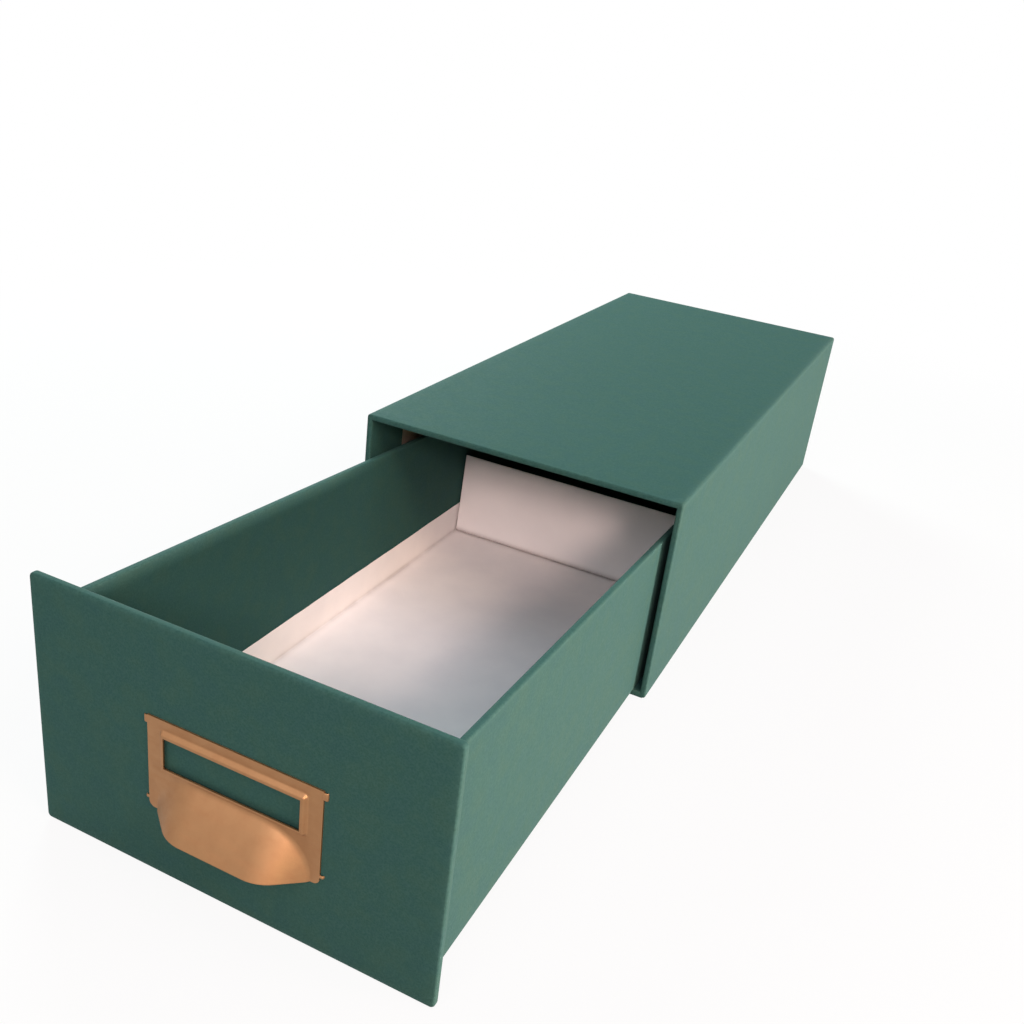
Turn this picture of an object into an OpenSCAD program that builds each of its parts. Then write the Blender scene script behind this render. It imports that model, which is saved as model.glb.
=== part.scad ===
// Index card box: a board slipcase covered in green paper, with a pull-out drawer for record cards.
// Millimetres, +Z up. The drawer front faces -Y and the origin is the middle of the case's underside.

/* [Case] */
// Outside width of the case
case_w = 146; // [120:1:200]
// Outside height of the case
case_h = 92; // [80:1:140]
// Outside length of the case, front to back
case_l = 340; // [280:5:420]
// Thickness of the case boards
case_board_t = 2; // [1.6:0.1:3]
// Depth of the cover paper turned in at the mouth
mouth_turn = 28; // [10:1:60]
// Width of the cover flaps turned under the bottom
flap_w = 18; // [8:1:40]
// Width of the cover turned over the back board
back_turn = 15; // [6:1:30]
// Margin left around the base sheet and the back sheet
sheet_margin = 2.5; // [1:0.5:6]

/* [Papers] */
// Thickness of the cover and lining papers
paper_t = 0.25; // [0.15:0.05:0.4]
// Thickness of the gummed stay tape
stay_t = 0.15; // [0.1:0.05:0.3]
// Width of each leg of a stay tape
stay_w = 16; // [8:1:30]
// Outside radius of a papered board edge
edge_r = 1.4; // [0.8:0.1:2]

/* [Drawer] */
// Distance the drawer stands open
drawer_open = 181; // [0:1:240]
// Thickness of the drawer boards
drawer_board_t = 2; // [1.6:0.1:3]
// Gap between each drawer side and the mouth of the case
side_gap = 2.9; // [0.5:0.1:5]
// Running gap under the drawer
under_gap = 0.3; // [0.2:0.1:1]
// Gap behind the drawer when it is shut
back_gap = 3; // [1:0.5:10]
// Gap above the drawer's front wall inside the case
head_gap = 6; // [2:0.5:20]
// Fall of the wall tops from front to back
wall_fall = 18; // [0:1:25]
// Height of the drawer liner turned up the walls
liner_up = 15.5; // [8:0.5:30]
// Length of the inner turn-in hidden behind the liner
liner_lap = 7; // [3:0.5:8]
// Width of the wrap turned under the drawer
under_flap = 12; // [6:1:30]

/* [Front panel] */
// Thickness of the front panel board
panel_board_t = 2.2; // [1.6:0.1:4]
// Gap between the front panel and the table
panel_lift = 0.6; // [0.4:0.1:3]
// Outside radius of the panel's corners
panel_r = 1.6; // [0.8:0.1:4]
// Width of the panel cover turned in behind
panel_turn = 18; // [12:1:30]

/* [Label pull] */
// Width of the pull plate
pull_w = 61.8; // [58:0.2:80]
// Height of the pull plate
pull_h = 33.4; // [32.8:0.2:46.4]
// Height of the pull's lip above the panel's lower edge
pull_rise = 26; // [10:0.5:40]
// Offset of the pull to the right of the panel's middle
pull_shift = 2.4; // [-10:0.2:10]
// Thickness of the stamped sheet
sheet_t = 0.6; // [0.4:0.1:1]
// Width of the label window
window_w = 48.3; // [30:0.1:50]
// Height of the label window
window_h = 11; // [8:0.2:14]
// Margin between the window and the top of the plate
window_top = 5.2; // [4.4:0.1:7.4]
// Width of the raised rim round the window
rim_w = 2.2; // [1.4:0.1:3]
// Width of the raised rim below the window
rim_low = 2.1; // [1.6:0.1:3]
// Height of the raised rim above the plate
rim_rise = 1.2; // [0.6:0.1:2]
// Half width of the finger cup at its lip
cup_half_w = 27; // [22:0.5:28]
// Depth of the finger cup in front of the panel
cup_depth = 10.4; // [9:0.2:12]
// Height of the finger cup on the plate
cup_h = 14.9; // [13.6:0.1:15.2]
// Half length of the cup's straight middle
cup_flat = 9; // [6:0.5:14]
// Reach of the side ears beyond the plate
ear_out = 1.4; // [1:0.1:3]
// Height of each upper ear
ear_h = 2.6; // [1.5:0.1:5]
// Height of each lower ear
low_ear_h = 1; // [0.8:0.1:4]
// Height of the lower ears above the lip
ear_low = 2.6; // [2.4:0.1:6]
// Drop of the upper ears below the plate's top
ear_drop = 0.4; // [0:0.1:1.5]
// Length of the clinched prong behind the board
clinch_l = 4; // [2:0.5:8]
// Clearance of a prong in its slot
prong_fit = 0.1; // [0.05:0.05:0.3]

/* [Card stop] */
// Height of the folded card stop
stop_h = 42.5; // [25:0.5:60]
// Lean of the stop's face towards the rear
stop_lean = 3; // [0:0.5:10]
// Depth of the stop's foot
stop_foot = 26; // [15:1:45]
// Thickness of the stop's card
stop_t = 0.7; // [0.4:0.1:1.2]
// Gap between the stop and each drawer side
stop_side_gap = 0.8; // [0.4:0.1:2]
// Running gap under the stop
stop_under_gap = 0.3; // [0.2:0.1:1]
// Distance from the stop's foot to the drawer's back lining
stop_back = 42; // [5:1:60]

/* [Hidden] */
$fn = 48;

GREEN = [0.22, 0.40, 0.36];
GREY_BOARD = [0.58, 0.52, 0.44];
KRAFT = [0.70, 0.56, 0.40];
WHITE = [0.90, 0.87, 0.84];
COPPER = [0.74, 0.52, 0.35];

// Reach of a cutting shape past the faces that it cuts
cut = 1;
// Depth of the glue layer that the stays fill between board and cover
board_inset = paper_t + stay_t;

// Case: inner faces of the boards, then of the papers turned in at the mouth
case_in_x = case_w / 2 - board_inset - case_board_t;
mouth_x = case_in_x - paper_t;
case_board_z = paper_t + board_inset;
case_board_top = case_board_z + case_board_t;
case_floor_z = case_board_top + paper_t;
case_roof_z = case_h - board_inset - case_board_t;
mouth_roof_z = case_roof_z - paper_t;
case_front_y = -case_l / 2;
board_front_y = case_front_y + paper_t;
board_back_y = case_l / 2 - 2 * paper_t;
back_board_y = board_back_y - case_board_t;

// Drawer: outside of its wrap, then the inner faces of its boards, turn-in and liner
drawer_x = mouth_x - side_gap;
drawer_y0 = case_front_y - drawer_open;
drawer_l = back_board_y - back_gap - case_front_y;
drawer_y1 = drawer_y0 + drawer_l;
drawer_z0 = case_floor_z + under_gap;
drawer_board_z = drawer_z0 + paper_t;
wall_front_z = mouth_roof_z - head_gap;
wall_inset = board_inset + drawer_board_t;
turn_inset = wall_inset + paper_t;
liner_inset = turn_inset + paper_t;
drawer_board_top = drawer_board_z + drawer_board_t;
drawer_floor_z = drawer_board_top + paper_t;
liner_top_z = drawer_floor_z + liner_up;
wall_tall = wall_front_z - drawer_z0 + cut;

// Front panel
panel_x = case_w / 2;
panel_z0 = panel_lift;
panel_y0 = drawer_y0 - panel_board_t - 2 * paper_t;
panel_board_y0 = panel_y0 + paper_t;
panel_board_y1 = drawer_y0 - paper_t;

// Pull: the cup is turned about an axis behind the panel's face, straight in the middle with round shoulders
pull_z0 = panel_z0 + pull_rise;
cup_back = (cup_h * cup_h - cup_depth * cup_depth) / (2 * cup_depth);
cup_r = cup_depth + cup_back;
cup_run = cup_half_w - cup_flat;
shoulder_r = (cup_run * cup_run + cup_depth * cup_depth) / (2 * cup_depth);
window_z = pull_h - window_top - window_h;
plate_r = 0.8;
foot_r = 2.2;
rim_r = 1.6;
ear_x = pull_w / 2 + ear_out;
// Lower edge and height of each pair of ears
ears = [[ear_low, low_ear_h], [pull_h - ear_drop - ear_h, ear_h]];
prong_y = panel_board_y1 - panel_y0;

// Card stop
stop_half_w = drawer_x - liner_inset - stop_side_gap;
stop_z0 = drawer_floor_z + stop_under_gap;
stop_y0 = drawer_y1 - liner_inset - stop_back - stop_foot;

// Height of the wrap's top edge at a place along the drawer
function wall_top(y) = wall_front_z - wall_fall * (y - drawer_y0) / drawer_l;

// Rectangle between two corners, with round corners
module soft_rect(low, high, r) {
    translate([low.x + r, low.y])
        square([high.x - low.x - 2 * r, high.y - low.y]);
    translate([low.x, low.y + r])
        square([high.x - low.x, high.y - low.y - 2 * r]);
    for (x = [low.x + r, high.x - r], y = [low.y + r, high.y - r])
        translate([x, y])
            circle(r);
}

// Rectangle between two corners
module plain_rect(low, high) {
    translate(low)
        square(high - low);
}

// Box between two corners
module box(low, high) {
    translate(low)
        cube(high - low);
}

// An outline in the X-Z plane, carried from one place on Y to another
module along_y(from, to) {
    translate([0, to, 0])
        rotate([90, 0, 0])
            linear_extrude(to - from)
                children();
}

// An outline in the X-Y plane, carried from one height to another
module along_z(from, to) {
    translate([0, 0, from])
        linear_extrude(to - from)
            children();
}

// Cross-section of the case, drawn in from the cover's outside
module case_section(inset) {
    soft_rect([-case_w / 2 + inset, paper_t + inset], [case_w / 2 - inset, case_h - inset], edge_r - inset);
}

// One side board of the case, with its outer edge rounded under the cover
module case_side_board(side) {
    along_y(board_front_y, board_back_y)
        intersection() {
            case_section(board_inset);
            mirror([side < 0 ? 1 : 0, 0])
                plain_rect([case_in_x, 0], [case_w, case_roof_z]);
        }
}

module case_top_board() {
    color(GREY_BOARD)
        along_y(board_front_y, board_back_y)
            intersection() {
                case_section(board_inset);
                plain_rect([-case_w, case_roof_z], [case_w, case_h]);
            }
}

module case_bottom_board() {
    color(GREY_BOARD)
        box([-case_in_x, board_front_y, case_board_z], [case_in_x, board_back_y, case_board_top]);
}

module case_left_board() {
    color(GREY_BOARD)
        case_side_board(-1);
}

module case_right_board() {
    color(GREY_BOARD)
        case_side_board(1);
}

module case_back_board() {
    color(GREY_BOARD)
        box([-case_in_x, back_board_y, case_board_top], [case_in_x, board_back_y, case_roof_z]);
}

// Gummed tape folded over the four long edges, between boards and cover
module case_edge_stays() {
    color(KRAFT)
        along_y(board_front_y, board_back_y)
            difference() {
                case_section(paper_t);
                case_section(board_inset);
                plain_rect([-case_w / 2 + stay_w, 0], [case_w / 2 - stay_w, case_h + cut]);
                plain_rect([-case_w, paper_t + stay_w], [case_w, case_h - stay_w]);
            }
}

// Green paper over the top and sides: flaps under the bottom, turned in at the mouth and over the back
module case_cover() {
    color(GREEN) {
        along_y(board_front_y, board_back_y)
            difference() {
                case_section(0);
                case_section(paper_t);
                plain_rect([-case_w / 2 + flap_w, 0], [case_w / 2 - flap_w, case_h / 2]);
            }
        along_y(case_front_y, board_front_y)
            difference() {
                case_section(0);
                plain_rect([-mouth_x, 0], [mouth_x, mouth_roof_z]);
            }
        along_y(case_front_y, case_front_y + mouth_turn)
            difference() {
                plain_rect([-case_in_x, case_board_top], [case_in_x, case_roof_z]);
                plain_rect([-mouth_x, 0], [mouth_x, mouth_roof_z]);
            }
        along_y(board_back_y, board_back_y + paper_t)
            difference() {
                case_section(0);
                plain_rect([-case_w / 2 + back_turn, 0], [case_w / 2 - back_turn, case_h - back_turn]);
            }
    }
}

// Green sheet under the bottom, carried up over the lower lip of the mouth and on to the case floor
module case_base_sheet() {
    sheet_x = case_w / 2 - sheet_margin;
    color(GREEN) {
        box([-sheet_x, case_front_y, 0], [sheet_x, case_l / 2 - sheet_margin, paper_t]);
        box([-mouth_x, case_front_y, 0], [mouth_x, board_front_y, case_floor_z]);
        box([-mouth_x, case_front_y, case_board_top], [mouth_x, case_front_y + mouth_turn, case_floor_z]);
    }
}

module case_back_sheet() {
    inset = sheet_margin;
    color(GREEN)
        along_y(board_back_y + paper_t, case_l / 2)
            plain_rect([-case_w / 2 + inset, inset], [case_w / 2 - inset, case_h - inset]);
}

// Plan of the drawer with round corners, drawn in from the wrap's outside
module drawer_plan(inset) {
    soft_rect([-drawer_x + inset, drawer_y0 + inset], [drawer_x - inset, drawer_y1 - inset], edge_r - inset);
}

// Plan of the drawer's inner faces, with square corners
module drawer_inside(inset) {
    plain_rect([-drawer_x + inset, drawer_y0 + inset], [drawer_x - inset, drawer_y1 - inset]);
}

// Everything below the sloping line of the wall tops, lowered by a drop
module under_slope(drop) {
    y0 = drawer_y0 - cut;
    y1 = drawer_y1 + cut;
    translate([-drawer_x - cut, 0, 0])
        rotate([90, 0, 90])
            linear_extrude(2 * (drawer_x + cut))
                polygon([[y0, drawer_z0], [y1, drawer_z0], [y1, wall_top(y1) - drop], [y0, wall_top(y0) - drop]]);
}

// A wall of the drawer: the children are its plan, and its top follows the slope
module drawer_wall() {
    intersection() {
        along_z(drawer_board_z, drawer_z0 + wall_tall)
            children();
        under_slope(paper_t);
    }
}

// One end wall, across the ends of the side walls
module drawer_end_wall(from, to) {
    drawer_wall()
        intersection() {
            drawer_plan(board_inset);
            plain_rect([-case_w, from], [case_w, to]);
        }
}

// One side wall, between the end walls
module drawer_side_wall(side) {
    drawer_wall()
        mirror([side < 0 ? 1 : 0, 0])
            plain_rect([drawer_x - wall_inset, drawer_y0 + wall_inset],
                       [drawer_x - board_inset, drawer_y1 - wall_inset]);
}

module drawer_front_wall() {
    color(GREY_BOARD)
        drawer_end_wall(drawer_y0, drawer_y0 + wall_inset);
}

module drawer_back_wall() {
    color(GREY_BOARD)
        drawer_end_wall(drawer_y1 - wall_inset, drawer_y1);
}

module drawer_left_wall() {
    color(GREY_BOARD)
        drawer_side_wall(-1);
}

module drawer_right_wall() {
    color(GREY_BOARD)
        drawer_side_wall(1);
}

module drawer_bottom() {
    color(GREY_BOARD)
        along_z(drawer_board_z, drawer_board_top)
            drawer_inside(wall_inset);
}

// Gummed tape folded round the four upright corners, between walls and wrap
module drawer_corner_stays() {
    color(KRAFT)
        intersection() {
            along_z(drawer_board_z, drawer_z0 + wall_tall)
                difference() {
                    drawer_plan(paper_t);
                    drawer_plan(board_inset);
                    plain_rect([-drawer_x + stay_w, drawer_y0 - cut], [drawer_x - stay_w, drawer_y1 + cut]);
                    plain_rect([-case_w, drawer_y0 + stay_w], [case_w, drawer_y1 - stay_w]);
                }
            under_slope(2 * paper_t);
        }
}

// Green paper round the walls: flaps underneath, over the top edges and down the inside
module drawer_wrap() {
    color(GREEN) {
        difference() {
            intersection() {
                along_z(drawer_z0, drawer_z0 + wall_tall)
                    difference() {
                        drawer_plan(0);
                        drawer_inside(turn_inset);
                    }
                under_slope(0);
            }
            intersection() {
                along_z(drawer_board_z, drawer_z0 + wall_tall)
                    difference() {
                        drawer_plan(paper_t);
                        drawer_inside(wall_inset);
                    }
                under_slope(paper_t);
            }
            along_z(drawer_board_z, liner_top_z - liner_lap)
                drawer_inside(wall_inset);
        }
        along_z(drawer_z0, drawer_board_z)
            difference() {
                drawer_plan(0);
                drawer_inside(under_flap);
            }
    }
}

// White paper over the drawer floor, turned a little way up all four walls
module drawer_liner() {
    color(WHITE)
        difference() {
            along_z(drawer_board_top, liner_top_z)
                drawer_inside(turn_inset);
            along_z(drawer_floor_z, liner_top_z + cut)
                drawer_inside(liner_inset);
        }
}

// Face of the front panel, drawn in from the cover's outside
module panel_face(inset) {
    soft_rect([-panel_x + inset, panel_z0 + inset], [panel_x - inset, case_h - inset], panel_r - inset);
}

// Places the children at the pull's lip, on the front panel's face
module at_pull() {
    translate([pull_shift, panel_y0, pull_z0])
        children();
}

// The two places of a pair of ears, each with its outward side on +X
module at_pair(z) {
    for (side = [0, 1])
        mirror([side, 0, 0])
            translate([ear_x, 0, z])
                children();
}

// Slots that the prongs pass through, and pockets where they lie clinched behind the board
module prong_room() {
    at_pull()
        for (ear = ears)
            at_pair(ear[0]) {
                box([-sheet_t - prong_fit, -cut, -prong_fit], [prong_fit, prong_y + cut, ear[1] + prong_fit]);
                box([-sheet_t - prong_fit, prong_y - sheet_t - prong_fit, -prong_fit],
                    [clinch_l + prong_fit, prong_y + cut, ear[1] + prong_fit]);
            }
}

module front_panel_board() {
    color(GREY_BOARD)
        difference() {
            along_y(panel_board_y0, panel_board_y1)
                panel_face(paper_t);
            prong_room();
        }
}

// Green paper over the panel's face and edges, turned in behind
module front_panel_cover() {
    turn = panel_turn;
    color(GREEN)
        difference() {
            along_y(panel_y0, drawer_y0)
                panel_face(0);
            along_y(panel_board_y0, panel_board_y1)
                panel_face(paper_t);
            along_y(panel_board_y1 - paper_t, drawer_y0 + cut)
                plain_rect([-panel_x + turn, panel_z0 + turn], [panel_x - turn, case_h - turn]);
            at_pull()
                for (ear = ears)
                    at_pair(ear[0])
                        box([-sheet_t - prong_fit, -cut, -prong_fit],
                            [prong_fit, panel_board_t, ear[1] + prong_fit]);
        }
}

// Half outline of the turned cup, its axis on Y: a straight middle with a round shoulder at each end
module cup_outline(inset) {
    intersection() {
        union() {
            plain_rect([0, -cup_flat], [cup_r - inset, cup_flat]);
            for (side = [-1, 1])
                translate([cup_r - shoulder_r, side * cup_flat])
                    circle(shoulder_r - inset);
        }
        plain_rect([0, -2 * cup_half_w], [2 * cup_r, 2 * cup_half_w]);
    }
}

// The part of the turned cup that stands above a floor and in front of a wall
module cup_form(inset, floor_z, wall_y) {
    intersection() {
        translate([0, cup_back, 0])
            rotate([0, 90, 0])
                rotate_extrude()
                    cup_outline(inset);
        box([-2 * cup_half_w, -2 * cup_r, floor_z], [2 * cup_half_w, wall_y, 2 * cup_r]);
    }
}

// Outline of the raised rim round the label window
module rim_outline(inset) {
    half_w = window_w / 2 + rim_w - inset;
    soft_rect([-half_w, window_z - rim_low + inset], [half_w, window_z + window_h + rim_w - inset],
              rim_r - inset);
}

// Stamped sheet: label frame above, finger cup below, and four prongs bent back through the panel
module label_pull() {
    color(COPPER)
        at_pull() {
            difference() {
                union() {
                    along_y(-sheet_t, 0) {
                        soft_rect([-pull_w / 2, 0], [pull_w / 2, pull_h / 2], foot_r);
                        soft_rect([-pull_w / 2, 2 * foot_r], [pull_w / 2, pull_h], plate_r);
                    }
                    along_y(-sheet_t - rim_rise, 0)
                        rim_outline(0);
                    cup_form(0, 0, 0);
                }
                along_y(-rim_rise, cut)
                    rim_outline(sheet_t);
                along_y(-sheet_t - rim_rise - cut, cut)
                    plain_rect([-window_w / 2, window_z], [window_w / 2, window_z + window_h]);
                cup_form(sheet_t, -cut, cut);
            }
            for (ear = ears)
                at_pair(ear[0]) {
                    box([-ear_out - plate_r, -sheet_t, 0], [0, 0, ear[1]]);
                    box([-sheet_t, -sheet_t, 0], [0, prong_y, ear[1]]);
                    box([-sheet_t, prong_y - sheet_t, 0], [clinch_l, prong_y, ear[1]]);
                }
        }
}

// A leaf of the folded card between two folds
module stop_leaf(from, to) {
    run = to - from;
    translate(from)
        rotate(atan2(run.y, run.x))
            translate([0, -stop_t / 2])
                square([norm(run), stop_t]);
    translate(to)
        circle(stop_t / 2);
}

// White card folded into a three-sided tube that stands across the drawer behind the cards
module card_stop() {
    half_t = stop_t / 2;
    front_foot = [half_t, half_t];
    top_fold = [stop_lean + half_t, stop_h - half_t];
    back_foot = [stop_foot - half_t, half_t];
    color(WHITE)
        translate([-stop_half_w, stop_y0, stop_z0])
            rotate([90, 0, 90])
                linear_extrude(2 * stop_half_w) {
                    stop_leaf(front_foot, top_fold);
                    stop_leaf(top_fold, back_foot);
                    stop_leaf(back_foot, front_foot);
                }
}

case_top_board();
case_bottom_board();
case_left_board();
case_right_board();
case_back_board();
case_edge_stays();
case_cover();
case_base_sheet();
case_back_sheet();
drawer_front_wall();
drawer_back_wall();
drawer_left_wall();
drawer_right_wall();
drawer_bottom();
drawer_corner_stays();
drawer_wrap();
drawer_liner();
front_panel_board();
front_panel_cover();
label_pull();
card_stop();
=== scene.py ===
"""Looks of an index card box: papered boards, white linings, a stamped pull and a folded card stop.

Lengths are millimetres in the frame of the CAD part, and become metres where a mesh is made. Only the
lamps and the floor are given in metres.
"""
import logging
import math
from dataclasses import dataclass, field
from enum import Enum
from typing import Callable, Sequence

import bmesh
import bpy
import numpy as np
from mathutils import Matrix, Quaternion, Vector, noise


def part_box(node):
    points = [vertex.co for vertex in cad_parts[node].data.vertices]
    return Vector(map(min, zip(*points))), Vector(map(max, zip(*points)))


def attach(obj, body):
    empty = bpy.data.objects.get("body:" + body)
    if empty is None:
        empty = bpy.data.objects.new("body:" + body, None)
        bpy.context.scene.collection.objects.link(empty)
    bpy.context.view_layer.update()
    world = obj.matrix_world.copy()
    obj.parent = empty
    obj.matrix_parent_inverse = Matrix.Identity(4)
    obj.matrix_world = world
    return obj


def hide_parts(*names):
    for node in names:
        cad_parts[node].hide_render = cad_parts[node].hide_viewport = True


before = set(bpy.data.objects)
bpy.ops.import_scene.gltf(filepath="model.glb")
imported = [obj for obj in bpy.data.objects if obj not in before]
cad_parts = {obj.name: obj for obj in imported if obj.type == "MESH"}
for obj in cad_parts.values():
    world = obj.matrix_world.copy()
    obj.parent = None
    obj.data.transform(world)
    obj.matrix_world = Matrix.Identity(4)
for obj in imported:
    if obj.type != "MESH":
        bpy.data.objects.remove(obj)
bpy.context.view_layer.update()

LOG = logging.getLogger("card_box")
MM = 0.001

Colour = tuple[float, float, float]
Point = tuple[float, float, float]
Range = tuple[float, float]

# Name of the mark that each point of a sheet bears: 1 on a fold and 0 on a flat face. The finishes paint
# along it: wear and a painted highlight on the green paper, painted shade on the lining and the card.
FOLD = "fold"
# Mark below which a point counts as flat.
FLAT_BELOW = 0.5
# Distance in millimetres at which two places count as one.
CLOSE = 0.01
# Length in millimetres that counts as none.
NO_LENGTH = 1e-6
# Half the width in millimetres of the slit that a sheet's last face fills.
CAP_HALF = 0.4
# Range in which most of a noise pattern lies.
MOST_NOISE: Range = (0.3, 0.7)
# A full change from the first colour to the second, and back.
RISING: Range = (0.0, 1.0)
FALLING: Range = (1.0, 0.0)


class Body(Enum):
    """The bodies that pieces ride on."""

    CASE = "case"
    DRAWER = "drawer"
    STOP = "stop"


class Slot(Enum):
    """The material slots of the part's record."""

    GREY_BOARD = "grey_board"
    STAY_TAPE = "stay_tape"
    GREEN_PAPER = "green_paper"
    WHITE_PAPER = "white_paper"
    WHITE_CARD = "white_card"
    COPPERED_STEEL = "coppered_steel"


class Wiring:
    """Short calls that add nodes to a node tree and link them."""

    def __init__(self, tree: bpy.types.NodeTree) -> None:
        """Keeps the tree.

        Args:
            tree: The node tree of a material or a world.
        """
        self.tree = tree

    def node(self, kind: str, **settings: object) -> bpy.types.Node:
        """Adds a node.

        Args:
            kind: Blender's name of the node type.
            settings: Values for the node's own properties.

        Returns:
            The new node.
        """
        made = self.tree.nodes.new(kind)
        for key, value in settings.items():
            setattr(made, key, value)
        return made

    def feed(self, socket: bpy.types.NodeSocket, value: object) -> None:
        """Links another node's output to an input, or sets the input to a plain value.

        Args:
            socket: The input.
            value: An output socket, a number or a colour.
        """
        if isinstance(value, bpy.types.NodeSocket):
            self.tree.links.new(value, socket)
        elif isinstance(value, tuple):
            socket.default_value = (*value, 1.0)
        else:
            socket.default_value = value

    def math(self, operation: str, a: object, b: object) -> bpy.types.NodeSocket:
        """Works out one value from two.

        Args:
            operation: Blender's name of the operation.
            a: First value or socket.
            b: Second value or socket.

        Returns:
            The result.
        """
        made = self.node("ShaderNodeMath", operation=operation)
        self.feed(made.inputs[0], a)
        self.feed(made.inputs[1], b)
        return made.outputs["Value"]

    def show(self, kind: str, share: bpy.types.NodeSocket, a: bpy.types.NodeSocket,
             b: bpy.types.NodeSocket) -> None:
        """Mixes two shaders and hands the mixture to the tree's output.

        Args:
            kind: Blender's name of the output's type.
            share: Share of the second shader.
            a: First shader.
            b: Second shader.
        """
        mixed = self.node("ShaderNodeMixShader")
        for index, entry in enumerate((share, a, b)):
            self.feed(mixed.inputs[index], entry)
        self.feed(self.node(kind).inputs["Surface"], mixed.outputs["Shader"])


class Graph(Wiring):
    """The node tree of one material, with short calls for the patterns that the finishes share."""

    def __init__(self, slot: Slot) -> None:
        """Starts a material with one principled shader.

        Args:
            slot: The record's slot, whose name the material takes.
        """
        self.material = bpy.data.materials.new(slot.value)
        self.material.use_nodes = True
        super().__init__(self.material.node_tree)
        self.shader = self.tree.nodes["Principled BSDF"]
        self.place = self.node("ShaderNodeTexCoord").outputs["Object"]

    def stretched(self, stretch: Point) -> bpy.types.NodeSocket:
        """Places on the piece with each axis scaled, for grain that runs one way.

        Args:
            stretch: Factors on X, Y and Z.

        Returns:
            The scaled coordinates.
        """
        made = self.node("ShaderNodeMapping")
        self.feed(made.inputs["Vector"], self.place)
        made.inputs["Scale"].default_value = stretch
        return made.outputs["Vector"]

    def noise(self, grain: float, detail: float = 2.0, stretch: Point | None = None,
              ) -> bpy.types.NodeSocket:
        """Soft noise from 0 to 1.

        Args:
            grain: Size of one blot in millimetres.
            detail: Number of finer layers.
            stretch: Factors on the axes, if the grain runs one way.

        Returns:
            The noise value.
        """
        made = self.node("ShaderNodeTexNoise")
        self.feed(made.inputs["Vector"], self.stretched(stretch) if stretch else self.place)
        self.feed(made.inputs["Scale"], 1 / (grain * MM))
        self.feed(made.inputs["Detail"], detail)
        return made.outputs["Fac"]

    def cells(self, grain: float) -> bpy.types.NodeSocket:
        """Rounded cells, lowest in their middles.

        Args:
            grain: Size of one cell in millimetres.

        Returns:
            The distance to the cell's middle.
        """
        made = self.node("ShaderNodeTexVoronoi", feature="SMOOTH_F1")
        self.feed(made.inputs["Vector"], self.place)
        self.feed(made.inputs["Scale"], 1 / (grain * MM))
        return made.outputs["Distance"]

    def remap(self, value: bpy.types.NodeSocket, span: Range, onto: Range) -> bpy.types.NodeSocket:
        """Carries a range of values on to another, held at its ends.

        Args:
            value: The value to carry over.
            span: Start and end of its range.
            onto: What the start and the end become.

        Returns:
            The new value.
        """
        made = self.node("ShaderNodeMapRange")
        for index, entry in enumerate((value, *span, *onto)):
            self.feed(made.inputs[index], entry)
        return made.outputs["Result"]

    def mix(self, share: bpy.types.NodeSocket, a: object, b: object) -> bpy.types.NodeSocket:
        """Mixes two colours.

        Args:
            share: Share of the second colour.
            a: First colour.
            b: Second colour.

        Returns:
            The mixed colour.
        """
        made = self.node("ShaderNodeMix", data_type="RGBA")
        # The node has sockets for other kinds of data too. Inputs 6 and 7 and output 2 are its colours.
        for index, entry in ((0, share), (6, a), (7, b)):
            self.feed(made.inputs[index], entry)
        return made.outputs[2]

    def along_folds(self, fade: float, pattern: bpy.types.NodeSocket, span: Range, share: Range,
                    ) -> bpy.types.NodeSocket:
        """How strongly a fold near a point marks it, broken up by a pattern: wear and painted highlight on
        the green paper, painted shade on the lining and the card.

        Args:
            fade: Power by which the mark fades beside the fold.
            pattern: The pattern.
            span: Range of the pattern.
            share: What that range becomes on the fold.

        Returns:
            The mark's share.
        """
        near = self.node("ShaderNodeAttribute", attribute_name=FOLD).outputs["Fac"]
        faded = self.math("POWER", near, fade)
        return self.math("MULTIPLY", faded, self.remap(pattern, span, share))

    def bump(self, height: bpy.types.NodeSocket, depth: float, strength: float,
             under: bpy.types.NodeSocket | None = None) -> bpy.types.NodeSocket:
        """Relief too fine for the mesh.

        Args:
            height: Height from 0 to 1.
            depth: Depth of the relief in millimetres.
            strength: Share of the relief that shows.
            under: A coarser relief that it lies on.

        Returns:
            The bent normal.
        """
        made = self.node("ShaderNodeBump")
        self.feed(made.inputs["Strength"], strength)
        self.feed(made.inputs["Distance"], depth * MM)
        self.feed(made.inputs["Height"], height)
        if under:
            self.feed(made.inputs["Normal"], under)
        return made.outputs["Normal"]

    def finish(self, **inputs: object) -> bpy.types.Material:
        """Sets the shader's inputs.

        Args:
            inputs: Values or sockets, by the inputs' names with _ for spaces.

        Returns:
            The material.
        """
        for key, value in inputs.items():
            self.feed(self.shader.inputs[key.replace("_", " ")], value)
        return self.material


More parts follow.
